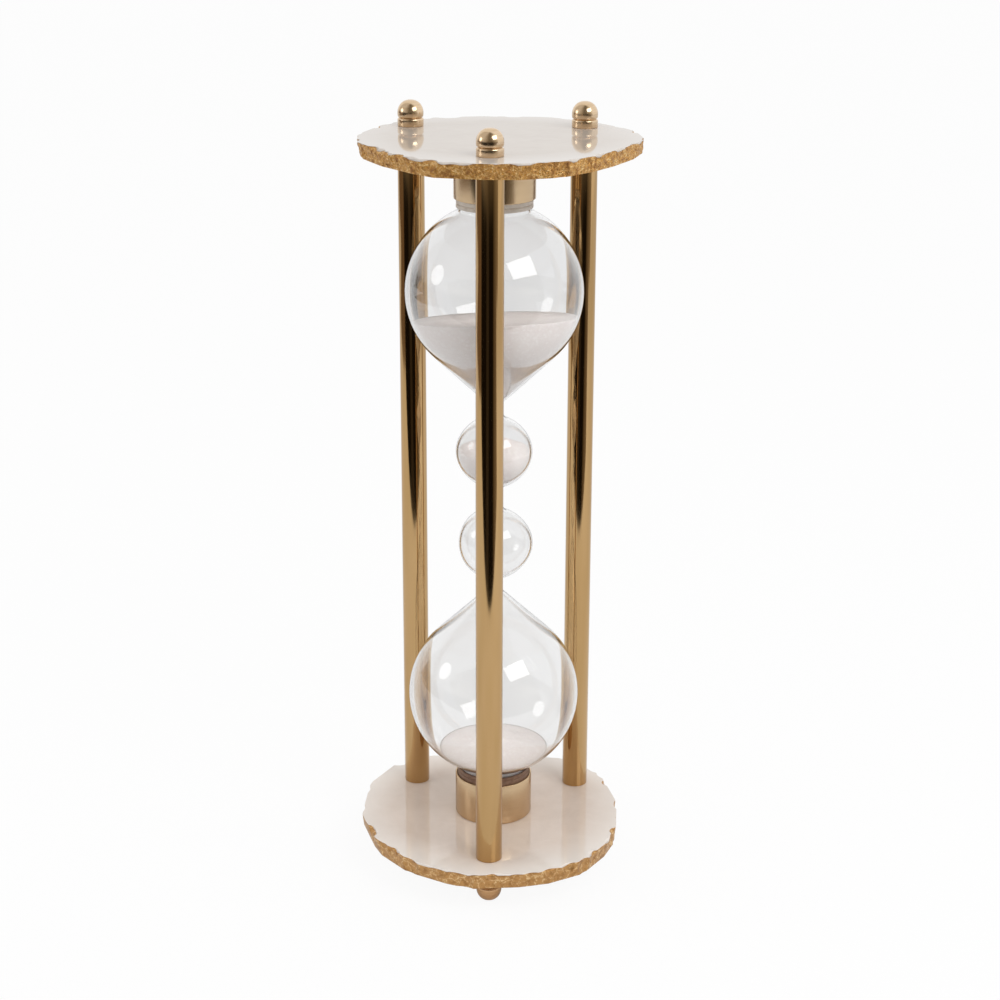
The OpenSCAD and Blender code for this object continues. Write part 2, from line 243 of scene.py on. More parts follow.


# Gold leaf over knapped stone: leaf that gives the eye a soft mid gold, with painted highlights in a
# brighter colour along creases that wander over it, and small worn hollows.
def gold_leaf(name, crease, depth, shine, gold, bright, worn):
    m = blank(name)
    here = place(m)
    drift = add(m, "ShaderNodeTexNoise", {"Vector": here, "Scale": per_mm(2.2), "Detail": 2.0})
    sway = 3.6 * MM
    bent = add(m, "ShaderNodeVectorMath", {0: drift.outputs["Color"], 1: (sway, sway, sway), 2: here},
               operation="MULTIPLY_ADD")
    creases = add(m, "ShaderNodeTexVoronoi", {"Vector": bent.outputs[0], "Scale": per_mm(crease)},
                  feature="DISTANCE_TO_EDGE")
    fine = add(m, "ShaderNodeTexNoise", {"Vector": here, "Scale": per_mm(0.5), "Detail": 4.0,
                                         "Roughness": 0.65})
    wear = add(m, "ShaderNodeTexNoise", {"Vector": here, "Scale": per_mm(2.0), "Detail": 4.0,
                                         "Roughness": 0.6})
    ridge = add(m, "ShaderNodeMapRange", {"Value": creases.outputs["Distance"], "From Min": 0.0,
                                          "From Max": 0.2, "To Min": 1.0, "To Max": 0.0})
    relief = add(m, "ShaderNodeMath", {0: ridge.outputs[0], 1: 0.7, 2: fine.outputs[0]},
                 operation="MULTIPLY_ADD")
    bump = add(m, "ShaderNodeBump", {"Height": relief.outputs[0], "Strength": 0.8, "Distance": depth * MM})
    base = blend(m, wear.outputs[0], worn, gold, 0.34, 0.52)
    # painted highlight: where the leaf is not worn, its creases turn to the bright colour
    painted_crest_glint = add(m, "ShaderNodeMath", {0: ridge.outputs[0], 1: wear.outputs[0]}, operation="MULTIPLY")
    colour = blend(m, painted_crest_glint.outputs[0], base, bright, 0.36, 0.56)
    shader = add(m, "ShaderNodeBsdfPrincipled", {"Base Color": colour, "Metallic": shine, "Roughness": 0.36,
                                                 "Normal": bump.outputs[0]})
    return surface(m, shader)


# Drawn and lacquered brass tube: a bright tube that gives the eye fine lengthwise draw lines
# under a clear lacquer.
def drawn_brass():
    m = blank("drawn_lacquered_brass")
    lines = add(m, "ShaderNodeTexNoise", {"Vector": stretch(m, 1, 1, 0.004), "Scale": per_mm(0.9),
                                          "Detail": 3.0, "Roughness": 0.6})
    cloud = add(m, "ShaderNodeTexNoise", {"Vector": stretch(m, 1, 1, 0.1), "Scale": per_mm(6),
                                          "Detail": 2.0})
    bump = add(m, "ShaderNodeBump", {"Height": lines.outputs[0], "Strength": 0.2, "Distance": 0.01 * MM})
    colour = blend(m, cloud.outputs[0], "#B99665", "#C3A173", 0.3, 0.7)
    rough = add(m, "ShaderNodeMapRange", {"Value": lines.outputs[0], "From Min": 0.3, "From Max": 0.7,
                                          "To Min": 0.07, "To Max": 0.12})
    shader = add(m, "ShaderNodeBsdfPrincipled", {"Base Color": colour, "Metallic": 1.0,
                                                 "Roughness": rough.outputs[0], "Normal": bump.outputs[0]})
    return surface(m, shader)


# Turned and polished brass: the ball nuts, which give the eye faint turning rings. The lower ones get a
# darker, warmer copy of the upper ones' brass: painted shade, as they stand in the bottom plate's shadow and
# mirror it.
def turned_brass(name, low, high):
    m = blank(name)
    rings = add(m, "ShaderNodeTexNoise", {"Vector": stretch(m, 0.05, 0.05, 1), "Scale": per_mm(0.5),
                                          "Detail": 2.0})
    bump = add(m, "ShaderNodeBump", {"Height": rings.outputs[0], "Strength": 0.3, "Distance": 0.02 * MM})
    colour = blend(m, rings.outputs[0], low, high, 0.3, 0.7)
    shader = add(m, "ShaderNodeBsdfPrincipled", {"Base Color": colour, "Metallic": 1.0, "Roughness": 0.2,
                                                 "Normal": bump.outputs[0]})
    return surface(m, shader)


# Satin brass pressing: the caps, brushed round, which give the eye a broad soft sheen.
def satin_brass():
    m = blank("satin_brushed_brass")
    brush = add(m, "ShaderNodeTexNoise", {"Vector": stretch(m, 0.03, 0.03, 1), "Scale": per_mm(0.35),
                                          "Detail": 3.0})
    bump = add(m, "ShaderNodeBump", {"Height": brush.outputs[0], "Strength": 0.04, "Distance": 0.01 * MM})
    colour = blend(m, brush.outputs[0], "#CCB08C", "#D2B895", 0.3, 0.7)
    shader = add(m, "ShaderNodeBsdfPrincipled", {"Base Color": colour, "Metallic": 1.0, "Roughness": 0.25,
                                                 "Normal": bump.outputs[0]})
    return surface(m, shader)


# Blown borosilicate glass: clear, with the slow waves of hand blowing.
def blown_glass():
    m = blank("blown_borosilicate_glass")
    waves = add(m, "ShaderNodeTexNoise", {"Vector": place(m), "Scale": per_mm(24), "Detail": 1.0})
    bump = add(m, "ShaderNodeBump", {"Height": waves.outputs[0], "Strength": 0.04, "Distance": 0.3 * MM})
    shader = add(m, "ShaderNodeBsdfPrincipled", {"Base Color": tint("#FCFCFC"), "Roughness": 0.0,
                                                 "IOR": 1.47, "Transmission Weight": 1.0,
                                                 "Normal": bump.outputs[0]})
    return surface(m, shader)


# Fine washed white sand, with grains of 0.4 mm, drawn coarser at 0.7 mm so that they show.
def washed_sand():
    m = blank("washed_white_sand")
    here = place(m)
    grains = add(m, "ShaderNodeTexVoronoi", {"Vector": here, "Scale": per_mm(0.7), "Randomness": 1.0})
    drift = add(m, "ShaderNodeTexNoise", {"Vector": here, "Scale": per_mm(12), "Detail": 3.0})
    bump = add(m, "ShaderNodeBump", {"Height": grains.outputs["Distance"], "Strength": 0.5,
                                     "Distance": 0.15 * MM})
    base = blend(m, drift.outputs[0], "#EFE6E2", "#F5EEEA", 0.3, 0.7)
    colour = blend(m, grains.outputs["Color"], base, "#FAF5F2", 0.6, 1.0)
    shader = add(m, "ShaderNodeBsdfPrincipled", {"Base Color": colour, "Roughness": 0.95,
                                                 "Specular IOR Level": 0.2, "Normal": bump.outputs[0]})
    return surface(m, shader)


def mottled(name, low, high, size, rough, depth):
    """A mottled, slightly uneven surface for the small fittings."""
    m = blank(name)
    spots = add(m, "ShaderNodeTexNoise", {"Vector": place(m), "Scale": per_mm(size), "Detail": 4.0,
                                          "Roughness": 0.6})
    bump = add(m, "ShaderNodeBump", {"Height": spots.outputs[0], "Strength": 0.5, "Distance": depth * MM})
    colour = blend(m, spots.outputs[0], low, high, 0.35, 0.65)
    shader = add(m, "ShaderNodeBsdfPrincipled", {"Base Color": colour, "Roughness": rough,
                                                 "Normal": bump.outputs[0]})
    return surface(m, shader)


# Threaded steel rod: rolled, with its thread of 0.8 mm pitch drawn as soft bands about 5 mm apart. A wave
# node of this scale has a period of 2 pi pitches.
def threaded_steel():
    m = blank("rolled_thread_steel")
    pitch = add(m, "ShaderNodeTexWave", {"Vector": place(m), "Scale": per_mm(0.8) / 20}, wave_type="BANDS",
                bands_direction="Z", wave_profile="SIN")
    bump = add(m, "ShaderNodeBump", {"Height": pitch.outputs[1], "Strength": 0.8, "Distance": 0.3 * MM})
    # painted shade: the thread's grooves are a darker steel than its crests
    colour = blend(m, pitch.outputs[1], "#8E8B86", "#B5B2AC")
    shader = add(m, "ShaderNodeBsdfPrincipled", {"Base Color": colour, "Metallic": 1.0,
                                                 "Roughness": 0.35, "Normal": bump.outputs[0]})
    return surface(m, shader)


QUARTZ_TOP = polished_quartz("polished_milky_quartz", "#C3B6AA", "#CDC2B6", "#D6CEC6")
QUARTZ_BOTTOM = polished_quartz("polished_cream_quartz", "#DBCABC", "#E8D9CD", "#EFE7DF")
# the middle colour of each leaf is its painted highlight along the creases
LEAF_TOP = gold_leaf("crinkled_gold_leaf", 1.2, 0.24, 0.7, "#CE9A52", "#FFE2A8", "#A07040")
LEAF_BOTTOM = gold_leaf("laid_gold_leaf", 3.2, 0.09, 0.75, "#BF915A", "#E6C592", "#A37644")
BRASS = drawn_brass()
NUT = turned_brass("turned_pale_brass", "#D8BC98", "#E4CBAC")
# painted shade: a darker, warmer copy of the same brass for the feet under the bottom plate
SHADED_FOOT_NUT = turned_brass("turned_brass_painted_shade", "#BE9468", "#CAA279")
SATIN = satin_brass()
GLASS = blown_glass()
SAND = washed_sand()
# moulded rubber for the bottom ring: dark brown with a dull bloom, a painted shade copy of the ring rubber
SHADED_GASKET_RUBBER = mottled("gasket_rubber_painted_shade", "#6A4C38", "#85634B", 1.2, 0.45, 0.05)
# the same ring rubber for the top ring: pale grey beige with a soft sheen, a painted light copy
LIT_GASKET_RUBBER = mottled("gasket_rubber_painted_light", "#BDB1A4", "#CDC3B7", 1.6, 0.3, 0.03)
# pressed felt: matted wool fibres
FELT = mottled("pressed_brown_felt", "#3B2E27", "#57463C", 0.8, 1.0, 0.3)
# agglomerated cork: tan granules
CORK = mottled("agglomerated_cork", "#8A6441", "#B58C60", 1.6, 0.85, 0.2)
STEEL = threaded_steel()

# ---- chipped and gilded plates ----

TOP_WAVES = ((1.1, -53), (0.92, 178), (0.79, 64), (0.29, 4), (0.2, -56), (0.34, 11))
BOTTOM_WAVES = ((0.72, -130), (0.68, -135), (0.87, 94), (0.78, 174), (0.36, -108), (0.12, 23))
# how far a chip or a flake drifts along the rim, as a share of its spacing, and how far to the side of its
# facing it reaches, as a cosine
CHIP_DRIFT, CHIP_COSINE = 0.28, 0.5
FLAKE_DRIFT, FLAKE_COSINE = 0.35, 0.8
# middle and spread of each one's depth, as shares of the full one
BITE_MIDDLE, BITE_SPREAD, UNDERCUT_SPREAD = 0.55, 0.45, 0.2
FLAKE_MIDDLE, FLAKE_SPREAD = 0.7, 0.3
# hollows: drift along the rim, margin above and below, and how much of a bite the chips have taken by then
HOLLOW_DRIFT, HOLLOW_MARGIN, HOLLOW_BITE = 0.4, 0.05, 0.6
# the leaf's facets: the share left at its edges, how far from them it fades, and the thinnest leaf
FACET_EDGE, FACET_FADE, LEAF_LEAST = 0.3, 0.4, 0.1
# scallops in which the leaf stops: spacing in millimetres, slice of the pattern, and where in a cell, in
# cells from its centre, they start, over what run and how steeply they deepen
SCALLOP, SCALLOP_SLICE = 9.0, 0.37
SCALLOP_START, SCALLOP_RUN, SCALLOP_CURVE = 0.38, 0.3, 1.5


def uneven(i):
    """Repeatable unevenness, -1 to 1."""
    return math.sin(math.radians(i * 137.5 + 40 * math.sin(math.radians(i * 71))))


def rim(mean, waves, angle):
    """Radius of a plate's rim at angles in degrees."""
    return mean + RIM_SWELL * sum(share * np.cos(np.radians((k + 1) * angle - phase))
                                  for k, (share, phase) in enumerate(waves))


def rim_point(mean, waves, angle):
    reach = rim(mean, waves, angle)
    return np.array((reach * math.cos(math.radians(angle)), reach * math.sin(math.radians(angle))))


def rim_facing(mean, waves, angle):
    """Unit vector square to the rim, outwards."""
    run = rim_point(mean, waves, angle + 4) - rim_point(mean, waves, angle - 4)
    return np.array((run[1], -run[0])) / math.hypot(*run)


def knapped(plate, angle, height):
    """Radius of the knapped rim at angles in degrees and heights above the plate's underside."""
    mean, waves, thick, turned = plate["mean"], plate["waves"], plate["thick"], plate["turn"]
    way = np.stack((np.cos(np.radians(angle)), np.sin(np.radians(angle))))
    reach = rim(mean, waves, angle)

    def cut(limit, where):
        np.minimum(reach, np.where(where, limit, reach), out=reach)

    # struck chips: a flat face through a bite at the top and an undercut below
    for i in range(CHIPS):
        a = (i + CHIP_DRIFT * uneven(i)) * 360 / CHIPS + turned
        bite = BITE * (BITE_MIDDLE + BITE_SPREAD * uneven(i + 11))
        undercut = UNDERCUT * (1 + UNDERCUT_SPREAD * uneven(i + 5))
        facing = rim_facing(mean, waves, a)
        along = facing @ way
        face = facing @ rim_point(mean, waves, a) - undercut + (undercut - bite) * height / thick
        with np.errstate(divide="ignore", invalid="ignore"):
            cut(face / along, along > CHIP_COSINE)
    # round flakes that run down and out from the upper face
    slope = math.radians(FLAKE_SLOPE)
    for i in range(FLAKES + len(plate["nicks"])):
        if i < FLAKES:
            a = (i + FLAKE_DRIFT * uneven(i + 2)) * 360 / FLAKES - turned
            start = FLAKE_REACH * (FLAKE_MIDDLE + FLAKE_SPREAD * uneven(i + 17))
            size = FLAKE_RADIUS
        else:
            a, start, size = plate["nicks"][i - FLAKES]
        facing, point = rim_facing(mean, waves, a), rim_point(mean, waves, a)
        side = np.array((-facing[1], facing[0]))
        # distance from the scoop's axis, as a quadratic in the radius
        out1, out0 = facing @ way, -(facing @ point) + start
        side1, side0 = side @ way, -(side @ point)
        lift1 = out1 * math.sin(slope)
        lift0 = out0 * math.sin(slope) + (height - thick) * math.cos(slope) - size
        qa = side1 ** 2 + lift1 ** 2
        qb = side1 * side0 + lift1 * lift0
        qc = side0 ** 2 + lift0 ** 2 - size ** 2
        under = qb ** 2 - qa * qc
        root = (-qb - np.sqrt(np.maximum(under, 0))) / qa
        cut(root, (under > 0) & (out1 > FLAKE_COSINE))
    # shallow shell-shaped hollows between them
    for centre, size in plate["hollows"]:
        qb = centre[0] * way[0] + centre[1] * way[1]
        under = qb ** 2 - (centre[0] ** 2 + centre[1] ** 2 + (height - centre[2]) ** 2 - size ** 2)
        cut(qb - np.sqrt(np.maximum(under, 0)), (under > 0) & (qb > 0))
    return reach


def hollows(mean, waves, thick, seed, count, sizes, depths):
    """Seeded ball-shaped hollows round a rim: centres outside it, biting in by a set depth."""
    draws = random.Random(seed)
    found = []
    for i in range(count):
        a = (i + draws.uniform(-HOLLOW_DRIFT, HOLLOW_DRIFT)) * 360 / count
        size, depth = draws.uniform(*sizes), draws.uniform(*depths)
        z = draws.uniform(HOLLOW_MARGIN, 1 - HOLLOW_MARGIN) * thick
        lean = (1 - z / thick) * (UNDERCUT - BITE) + BITE * HOLLOW_BITE
        point = rim_point(mean, waves, a) + rim_facing(mean, waves, a) * (size - depth - lean)
        found.append(((point[0], point[1], z), size))
    return found


def facets(at, size, depth):
    """Height of leaf facets, each a small flat with a tilt of its own, for a point in millimetres."""
    near = noise.voronoi(Vector(at) / size)[1][0]
    tilt = noise.cell_vector(near * 7.3 + Vector((0.5, 0.5, 0.5))) - Vector((0.5, 0.5, 0.5))
    return (Vector(at) / size - near).dot(tilt) * depth


def bare(angle, reach):
    """Height of bare stone above the leaf at angles in degrees: low scallops that meet in points."""
    found = []
    for a, r in zip(np.radians(angle), reach):
        at = Vector((r * math.cos(a) / SCALLOP, r * math.sin(a) / SCALLOP, SCALLOP_SLICE))
        deep = (noise.voronoi(at)[0][0] - SCALLOP_START) / SCALLOP_RUN
        found.append(LIP + LIP_WANDER * min(max(deep, 0), 1) ** SCALLOP_CURVE)
    return np.array(found)


def edges_of(ring):
    """The edges round a ring that has only just been made."""
    return list({edge for vert in ring for edge in vert.link_edges})


def make_plate(node, plate, stone, leaf):
    """One plate: its polished slab, and the leaf over its knapped rim."""
    low, high = span(node)[2:]
    thick = plate["thick"] = high - low
    steps, levels = plate["steps"], plate["levels"]
    plate["hollows"] = hollows(plate["mean"], plate["waves"], thick, *plate["hollowing"])

    # the leaf: a thin band, turned at stand-in radii of 1 outside and 0.5 inside, then pressed to the rim
    bm = bmesh.new()
    leaf_top = thick - LIP
    outer = draw(bm, (1, leaf_top), [(1, leaf_top * (1 - i / levels)) for i in range(1, levels + 1)])
    inner = draw(bm, (0.5, 0), [(0.5, leaf_top)])
    close(bm, [inner[0], outer[-1]])
    close(bm, [outer[0], inner[-1]])
    turn(bm, steps)
    flat = np.array([v.co for v in bm.verts]) / MM
    radius = np.hypot(flat[:, 0], flat[:, 1])
    angle = np.degrees(np.arctan2(flat[:, 1], flat[:, 0]))
    skin = radius > 0.75
    tops = thick - bare(angle, rim(plate["mean"], plate["waves"], angle))
    flat[:, 2] *= tops / leaf_top
    reach = knapped(plate, angle, flat[:, 2])
    for v, r, a, z, top, out in zip(bm.verts, reach, angle, flat[:, 2], tops, skin):
        a = math.radians(a)
        if out:
            fade = FACET_EDGE + (1 - FACET_EDGE) * min(1, z / FACET_FADE, (top - z) / FACET_FADE)
            at = (r * math.cos(a), r * math.sin(a), z)
            rise = sum(facets(at, size, depth) for size, depth in plate["crinkle"]) * fade
            r += max(rise, LEAF_LEAST - GILDING)
        else:
            r -= GILDING
        v.co = (r * math.cos(a) * MM, r * math.sin(a) * MM, (z + low) * MM)
    bmesh.ops.recalc_face_normals(bm, faces=bm.faces)
    finish(node + "_leaf", bm, leaf, "gilt_edge", node + "_gilding", flat=lambda face: plate["crisp"])

    # the slab: its outline just inside the leaf, with a fine lip over it, drilled for the three rods. Each
    # loop has a share of the leaf's height, a rise above that and an inset. Without a share, the rise is a
    # drop from the upper face
    bm = bmesh.new()
    loops = []
    for share, rise, inset in ((0, 0, GILDING), (0.25, 0, GILDING), (0.5, 0, GILDING), (0.75, 0, GILDING),
                               (1, 0, GILDING), (1, LIP_STEP, LIP_STEP), (None, LIP_EDGE, 0),
                               (None, 0, LIP_EDGE)):
        ring = bmesh.ops.create_circle(bm, segments=steps // 2, radius=MM)["verts"]
        turned = np.degrees(np.arctan2([v.co.y for v in ring], [v.co.x for v in ring]))
        tops = thick - bare(turned, rim(plate["mean"], plate["waves"], turned))
        heights = np.full(len(ring), thick - rise) if share is None else share * tops + rise
        for v, r, a, z in zip(ring, knapped(plate, turned, heights), np.radians(turned), heights):
            r -= inset + SLAB_GAP
            v.co = (r * math.cos(a) * MM, r * math.sin(a) * MM, (low + z) * MM)
        loops.append(edges_of(ring))
        if len(loops) > 1:
            bmesh.ops.bridge_loops(bm, edges=loops[-2] + loops[-1])
    rims = {low: loops[0][:], high: loops[-1][:]}
    for post in ("front_post", "left_post", "right_post"):
        px, py = span(post)[:2]
        pair = []
        for z in (low, high):
            ring = bmesh.ops.create_circle(bm, segments=32, radius=ROD_HOLE * MM)["verts"]
            bmesh.ops.translate(bm, verts=ring, vec=(px * MM, py * MM, z * MM))
            pair.append(edges_of(ring))
            rims[z] += pair[-1]
        bmesh.ops.bridge_loops(bm, edges=pair[0] + pair[1])
    for z, way in ((low, -1), (high, 1)):
        bmesh.ops.triangle_fill(bm, use_beauty=True, use_dissolve=False, edges=rims[z], normal=(0, 0, way))
    bmesh.ops.recalc_face_normals(bm, faces=bm.faces)
    finish(node + "_slab", bm, stone, "stone_plate", node, flat=lambda face: abs(face.normal.z) > 0.98)


# mean radius, outline, how far the chips are turned, fineness, hollows (seed, count, sizes, depths),
# facets of the leaf (size, depth), and nicks at the lip (angle, how far in, radius)
make_plate("top_plate", {
    "mean": 52.6, "waves": TOP_WAVES, "turn": 4, "steps": 1080, "levels": 22, "crisp": True,
    "hollowing": (11, 60, (3.5, 8.0), (0.1, 0.6)),
    "crinkle": ((2.6, 0.4), (1.0, 0.42)),
    "nicks": ((207, 3.2, 5), (219, 2.0, 3), (228, 2.6, 4), (244, 2.8, 6), (257, 1.6, 4), (268, 1.2, 3),
              (283, 1.4, 5), (297, 1.6, 5), (312, 2.2, 5), (327, 1.5, 4), (341, 2.0, 4), (12, 2.2, 5),
              (47, 1.6, 4), (80, 2.8, 6), (118, 1.8, 4), (151, 2.4, 5), (186, 1.6, 3)),
}, QUARTZ_TOP, LEAF_TOP)
make_plate("bottom_plate", {
    "mean": 53.2, "waves": BOTTOM_WAVES, "turn": 18, "steps": 960, "levels": 22, "crisp": False,
    "hollowing": (5, 34, (5.0, 11.0), (0.3, 1.0)),
    "crinkle": ((3.0, 0.22), (1.0, 0.1)),
    "nicks": ((202, 2.6, 4), (222, 2.4, 4), (314, 2.4, 4), (336, 2.8, 4), (269, 1.8, 9), (24, 2.4, 5),
              (70, 2.0, 4), (131, 2.8, 6)),
}, QUARTZ_BOTTOM, LEAF_BOTTOM)

# ---- posts and ball nuts ----

for side in ("front", "left", "right"):
    x, y, low, high = span(side + "_post")
    bm = bmesh.new()
    bore = POST_RADIUS - POST_WALL
    line = draw(bm, (bore, low), [(POST_RADIUS, low), (POST_RADIUS, high), (bore, high)])
    close(bm, line)
    ease(bm, line, 0.25)
    turn(bm, 128)
    shift(bm, x, y, 0)
    finish(side + "_post_tube", bm, BRASS, "champagne_tube", side + "_post")

    for end in ("top", "bottom"):
        node = f"{end}_{side}_finial"
        x, y, low, high = span(node)
        bm = bmesh.new()
        growth = FOOT_GROWTH if end == "bottom" else 0
        centre, ring = NUT_HEIGHT + growth - BALL, RING_HEIGHT + growth
        start = math.degrees(math.asin((ring + BALL_RISE - centre) / BALL))
        neck = (BALL * math.cos(math.radians(start)), ring + BALL_RISE)
        line = draw(bm, (0, NUT_BORE_DEPTH), [(NUT_BORE, NUT_BORE_DEPTH), (NUT_BORE, 0), (RING, 0),
                                              (RING, ring - GROOVE_DROP), (GROOVE, ring), neck,
                                              (0, centre, 90 - start, 32)])
        line[-1].co.x = 0
        for v in line[6:]:
            # a touch of barrel in the ball, as turned with a form tool
            v.co.x = BALL * MM * (v.co.x / (BALL * MM)) ** BALL_BARREL
        ease(bm, line[2:3], 0.2)
        ease(bm, [line[3]], 0.3)
        ease(bm, [line[4]], 0.45, 4)
        ease(bm, [line[5]], 0.15)
        turn(bm, 64)
        if end == "bottom":
            flip(bm)
            shift(bm, x, y, high)
        else:
            shift(bm, x, y, low)
        finish(node + "_nut", bm, SHADED_FOOT_NUT if end == "bottom" else NUT, "polished_nut", node)

# ---- caps and gaskets ----

for end in ("top", "bottom"):
    x, y, low, high = span(end + "_cap")
    bm = bmesh.new()
    lip = CAP_RADIUS - CAP_WALL
    line = draw(bm, (0, 0), [(CAP_RADIUS, 0), (CAP_RADIUS, CAP_HEIGHT), (lip, CAP_HEIGHT), (lip, CAP_END),
                             (0, CAP_END)])
    ease(bm, line[1:2] + line[4:5], 0.5)
    ease(bm, line[2:4], 0.38)
    turn(bm, 128)
    if end == "top":
        flip(bm)
    shift(bm, 0, 0, high if end == "top" else low)
    finish(end + "_cap_cup", bm, SATIN, "satin_cap", end + "_cap")

    # two-lipped sealing ring between cap and glass
    x, y, low, high = span(end + "_gasket")
    bm = bmesh.new()
    inside, outside = COLLAR + SAND_GAP, lip - SAND_GAP
    below, notch, above = GASKET_GROOVE
    line = draw(bm, (inside, 0), [(outside, 0), (outside, below), (outside - GASKET_GROOVE_DEPTH, notch),
                                  (outside, above), (outside, high - low), (inside, high - low)])
    close(bm, line)
    ease(bm, line, 0.14, 2)
    turn(bm, 96)
    if end == "top":
        flip(bm)
    shift(bm, 0, 0, high if end == "top" else low)
    # the two rings are one rubber in two copies: painted light at the top, painted shade at the bottom
    finish(end + "_gasket_ring", bm, LIT_GASKET_RUBBER if end == "top" else SHADED_GASKET_RUBBER, "rubber_gasket", end + "_gasket")

# ---- the blown vial ----


def hand_over(size, sweep, rise):
    """Direction in which a bulb hands over to a throat, and how far off the sweep's centre is.

    A big bulb runs down a straight funnel to the throat, a small one goes over straight into the sweep."""
    throat_x = THROAT + THROAT_SWEEP
    if size > SMALL:
        lean = math.acos((size + sweep) / math.hypot(throat_x, rise))
        return math.degrees(math.atan2(rise, throat_x) - lean), rise
    rise = math.sqrt((size + sweep) ** 2 - throat_x ** 2)
    return math.degrees(math.atan2(rise, throat_x)), rise


def skin_of_vial(depth, low, high):
    """Half section of the vial's skin, set in by a depth, from its lower end up, as a start and moves."""
    tube = COLLAR - depth
    lean = math.degrees(math.atan2(COLLAR_RISE, COLLAR_AXIS))
    throat_x, sweep = THROAT + THROAT_SWEEP, THROAT_SWEEP + depth
    bulbs = ((-BIG_AT, BIG - depth, 52), (-SMALL_AT, SMALL - depth, 30), (SMALL_AT, SMALL - depth, 30),
             (BIG_AT, BIG - depth, 52))
    throats = (-OUTER_THROAT, 0, OUTER_THROAT)
    moves = [(tube, low), (tube, -BIG_AT - COLLAR_RISE), (COLLAR_AXIS, -BIG_AT - COLLAR_RISE, -lean, 6)]
    angle = -lean
    for (z, size, steps), (above, above_size, _), throat in zip(bulbs, bulbs[1:], throats):
        leave, rise = hand_over(size, sweep, throat - z)
        moves.append((0, z, leave - angle, steps))
        if size > SMALL:
            moves.append((throat_x - sweep * math.cos(math.radians(leave)),
                          throat - sweep * math.sin(math.radians(leave))))
        moves.append((throat_x, z + rise, -leave, 8))
        arrive, rise = hand_over(above_size, sweep, above - throat)
        moves += [(throat_x - sweep, above - rise), (throat_x, above - rise, -arrive, 8)]
        if above_size > SMALL:
            moves.append((above_size * math.cos(math.radians(arrive)),
                          above - above_size * math.sin(math.radians(arrive))))
        angle = -arrive
    moves += [(0, BIG_AT, lean - angle, 52), (COLLAR_AXIS, BIG_AT + COLLAR_RISE, -lean, 6), (tube, high)]
    return (0, low), moves


def hand_blown(bm):
    """Widens each small bulb round its middle, as blowing left it, and leans the lower one a little."""
    for v in bm.verts:
        away = (abs(v.co.z) / MM - SMALL_AT) / SMALL
        if abs(away) < 1:
            full = (1 - away ** 2) ** 2
            widen = 1 + (WIDEN_UPPER if v.co.z > 0 else WIDEN_LOWER) * full
            v.co.x, v.co.y = v.co.x * widen, v.co.y * widen
            if v.co.z < 0:
                v.co.x += LOWER_LEAN * MM * full


bm = bmesh.new()
outer = draw(bm, *skin_of_vial(0, -COLLAR_END, COLLAR_END - PLUG_FLANGE))
inner = draw(bm, *skin_of_vial(GLASS_WALL, -COLLAR_END + GLASS_END, COLLAR_END - PLUG_FLANGE))
close(bm, [inner[-1], outer[-1]])
ease(bm, [outer[1]], 1.2, 4)
ease(bm, [inner[1]], 0.6, 3)
ease(bm, [outer[-1], inner[-1]], 0.3, 3)
turn(bm, 168)
hand_blown(bm)
shift(bm, 0, 0, VIAL_Z)
vial = finish("blown_vial", bm, GLASS, "clear_glass", "glass_vial")
# lamplight reaches the sand straight through the thin glass
vial.visible_shadow = False

# ---- sand ----


def sand_fill(name, node, floor, level, tilt, dip, slope, seed):
    """Sand in the bore from a floor up to a level, heaped by a slope, heights from the vial's middle."""
    bm = bmesh.new()
    line = draw(bm, *skin_of_vial(GLASS_WALL + SAND_GAP, -COLLAR_END + GLASS_END + SAND_GAP,
                                  COLLAR_END - PLUG_FLANGE - SAND_DRAWN_BELOW))
    tip = bmesh.ops.extrude_vert_indiv(bm, verts=[line[-1]])["verts"][0]
    tip.co.x = 0
    turn(bm, 160)
    way = Matrix.Rotation(math.radians(tilt), 3, "Y") @ Vector((0, 0, 1))
    way = Matrix.Rotation(math.radians(dip), 3, "Z") @ way
    for centre, normal in ((floor, Vector((0, 0, -1))), (level, way)):
        if centre is None:
            continue
        cut = bmesh.ops.bisect_plane(bm, geom=bm.verts[:] + bm.edges[:] + bm.faces[:], dist=1e-7,
                                     plane_co=(0, 0, centre * MM), plane_no=normal, clear_outer=True)
        loop = [v for v in cut["geom_cut"] if isinstance(v, bmesh.types.BMVert)]
        bmesh.ops.remove_doubles(bm, verts=loop, dist=SAND_WELD * MM)
        top = bmesh.ops.contextual_create(bm, geom=[e for e in bm.edges if e.is_boundary])["faces"][0]
    # rings across the surface, so that it can be heaped and roughened
    middle = top.calc_center_bounds()
    radius = max((v.co - middle).length for v in top.verts)
    for left in range(SAND_RINGS, 0, -1):
        top = bmesh.ops.extrude_discrete_faces(bm, faces=[top])["faces"][0]
        for v in top.verts:
            v.co = middle + (v.co - middle) * (left / (left + 1))
    bmesh.ops.poke(bm, faces=[top])
    for v in bm.verts:
        out = (v.co - middle).length
        if abs((v.co - middle).dot(way)) < 1e-6 and out < radius * 0.98:
            heap = math.tan(math.radians(slope)) * (radius - math.hypot(out, radius * PEAK_ROUNDING))
            wave = noise.fractal(v.co / (SAND_RIPPLE * MM) + Vector((seed, 0, 0)), 0.8, 2.0, 4)
            rough = wave * SAND_ROUGH * MM
            v.co.z += max(heap, 0) + rough * min(1, (1 - out / radius) * 6)
    bmesh.ops.recalc_face_normals(bm, faces=bm.faces)
    hand_blown(bm)
    shift(bm, 0, 0, VIAL_Z)
    return finish(name, bm, SAND, "white_sand", node)


